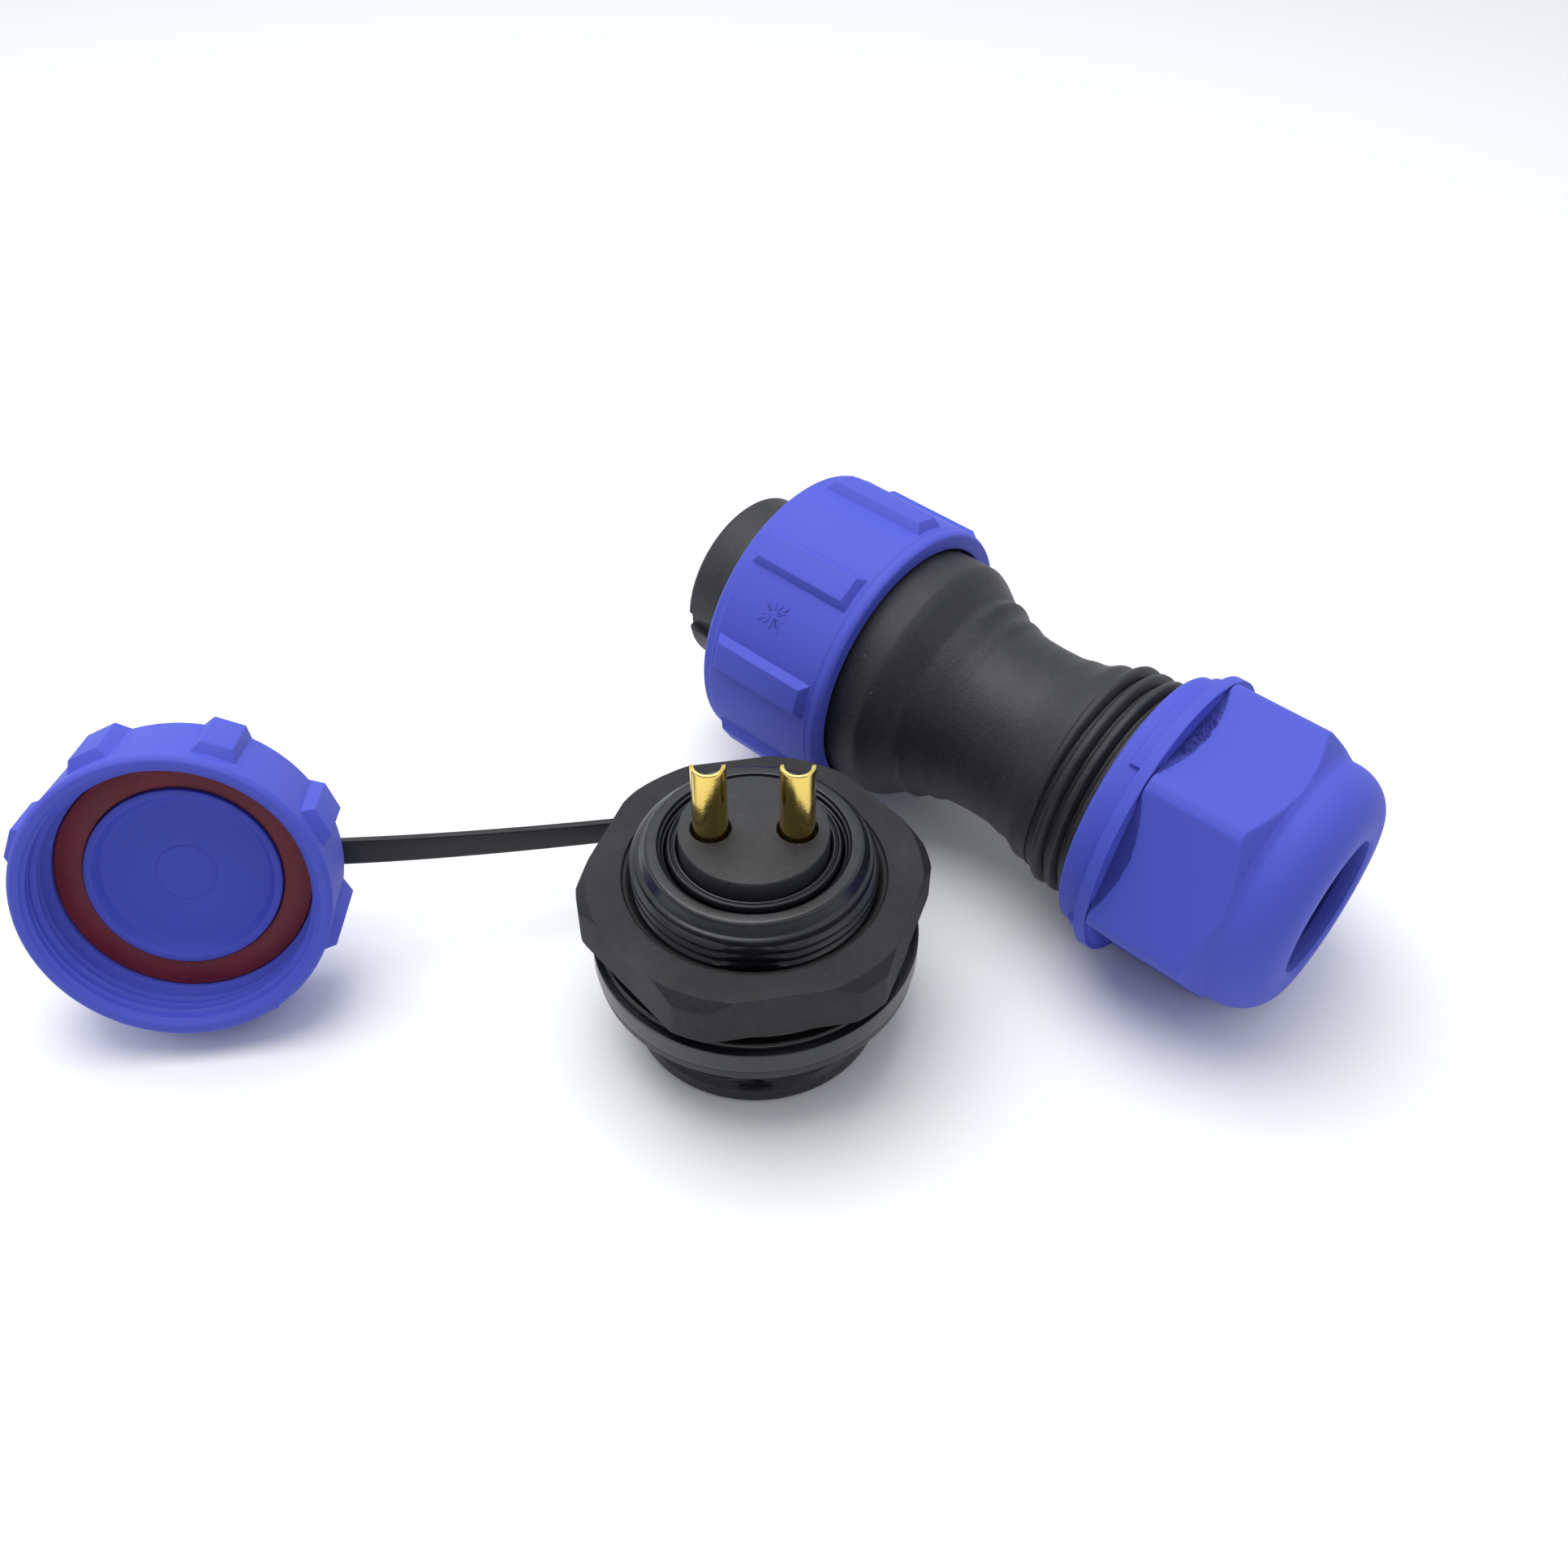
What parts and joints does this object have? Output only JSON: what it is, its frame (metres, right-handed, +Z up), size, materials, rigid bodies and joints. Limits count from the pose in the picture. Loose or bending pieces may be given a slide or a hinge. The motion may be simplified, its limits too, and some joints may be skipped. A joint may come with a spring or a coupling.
{
  "type": "solar cable connector",
  "caption": "Waterproof round cable connector set: panel receptacle with hex nut and solder cups, tethered blue dust cap, and a cable plug with blue coupling ring and gland nut.",
  "frame": {"origin": "bottom centre of the box around the whole set, on the surface it stands on", "axes": "+Z up, along the receptacle's axis towards its solder cups; +X along the plug, from its coupling ring towards its gland nut; +Y from the receptacle towards the plug"},
  "size_m": [0.088, 0.0892, 0.0302],
  "materials": {
    "black_nylon": "glossy injection-moulded glass-filled nylon",
    "black_satin": "fine-grained satin moulding",
    "blue_nylon": "satin moulded nylon",
    "gold_brass": "gold-plated turned brass",
    "black_rubber": "smooth moulded elastomer",
    "red_rubber": "dark red silicone",
    "strap_polymer": "soft moulded strap",
    "seal_rubber": "soft cable seal",
    "spring_steel": "spring steel"
  },
  "bodies": {
    "receptacle": {"receptacle_housing": "black_nylon", "receptacle_insulator": "black_satin", "contact_pin_a": "gold_brass", "contact_pin_b": "gold_brass", "insulator_o_ring": "black_rubber", "insulator_retaining_ring": "black_nylon", "flange_gasket": "black_rubber"},
    "slip_washer": {"nut_slip_washer": "black_satin"},
    "nut": {"panel_nut": "black_satin"},
    "tether_ring": {"lanyard_ring": "strap_polymer"},
    "tether_strap": {"lanyard_strap": "strap_polymer"},
    "cap": {"cap_shell": "blue_nylon", "cap_gasket": "red_rubber", "cap_stud": "black_satin"},
    "plug": {"plug_shell": "black_nylon", "plug_insulator": "black_satin", "socket_contact_a": "gold_brass", "socket_contact_b": "gold_brass", "plug_face_seal": "red_rubber", "ring_retainer": "spring_steel", "plug_body": "black_satin", "body_o_ring": "black_rubber", "cable_clamp": "black_satin", "cable_seal": "seal_rubber"},
    "coupler": {"coupling_ring": "blue_nylon"},
    "gland_slip": {"gland_slip_ring": "black_satin"},
    "gland": {"gland_nut": "blue_nylon"}
  },
  "joints": [
    {"name": "nut_travel", "type": "slide", "parent": "receptacle", "child": "slip_washer", "axis": [0, 0, 1], "range_m": [-0.0006, 0.0075]},
    {"name": "nut_turn", "type": "hinge", "parent": "slip_washer", "child": "nut", "pos_m": [0.00669, -0.00174, 0.015], "axis": [0, 0, 1], "continuous": true},
    {"name": "tether_swivel", "type": "hinge", "parent": "receptacle", "child": "tether_ring", "pos_m": [0.00669, -0.00174, 0.00785], "axis": [0, 0, 1], "range_deg": [-10, 110]},
    {"name": "tether_flex", "type": "hinge", "parent": "tether_ring", "child": "tether_strap", "pos_m": [-0.00829, 0.00539, 0.00765], "axis": [0, 0, 1], "range_deg": [-35, 12]},
    {"name": "cap_spin", "type": "hinge", "parent": "tether_strap", "child": "cap", "pos_m": [-0.03524, -0.02898, 0.01187], "axis": [0.6985, -0.6268, 0.3453], "continuous": true},
    {"name": "plug_lift", "type": "slide", "parent": "receptacle", "child": "plug", "axis": [0, 0, 1], "range_m": [0, 0.04]},
    {"name": "coupling_turn", "type": "hinge", "parent": "plug", "child": "coupler", "pos_m": [-0.0084, 0.02983, 0.0152], "axis": [0.9991, 0, -0.0419], "continuous": true},
    {"name": "gland_travel", "type": "slide", "parent": "plug", "child": "gland_slip", "axis": [0.9991, 0, -0.0419], "range_m": [-0.0025, 0.006]},
    {"name": "gland_turn", "type": "hinge", "parent": "gland_slip", "child": "gland", "pos_m": [0.03456, 0.02983, 0.01339], "axis": [0.9991, 0, -0.0419], "continuous": true}
  ],
  "couplings": [
    {"joint": "nut_turn", "follows": "nut_travel", "rad_per_m": 6283.2},
    {"joint": "gland_turn", "follows": "gland_travel", "rad_per_m": 3141.6}
  ]
}
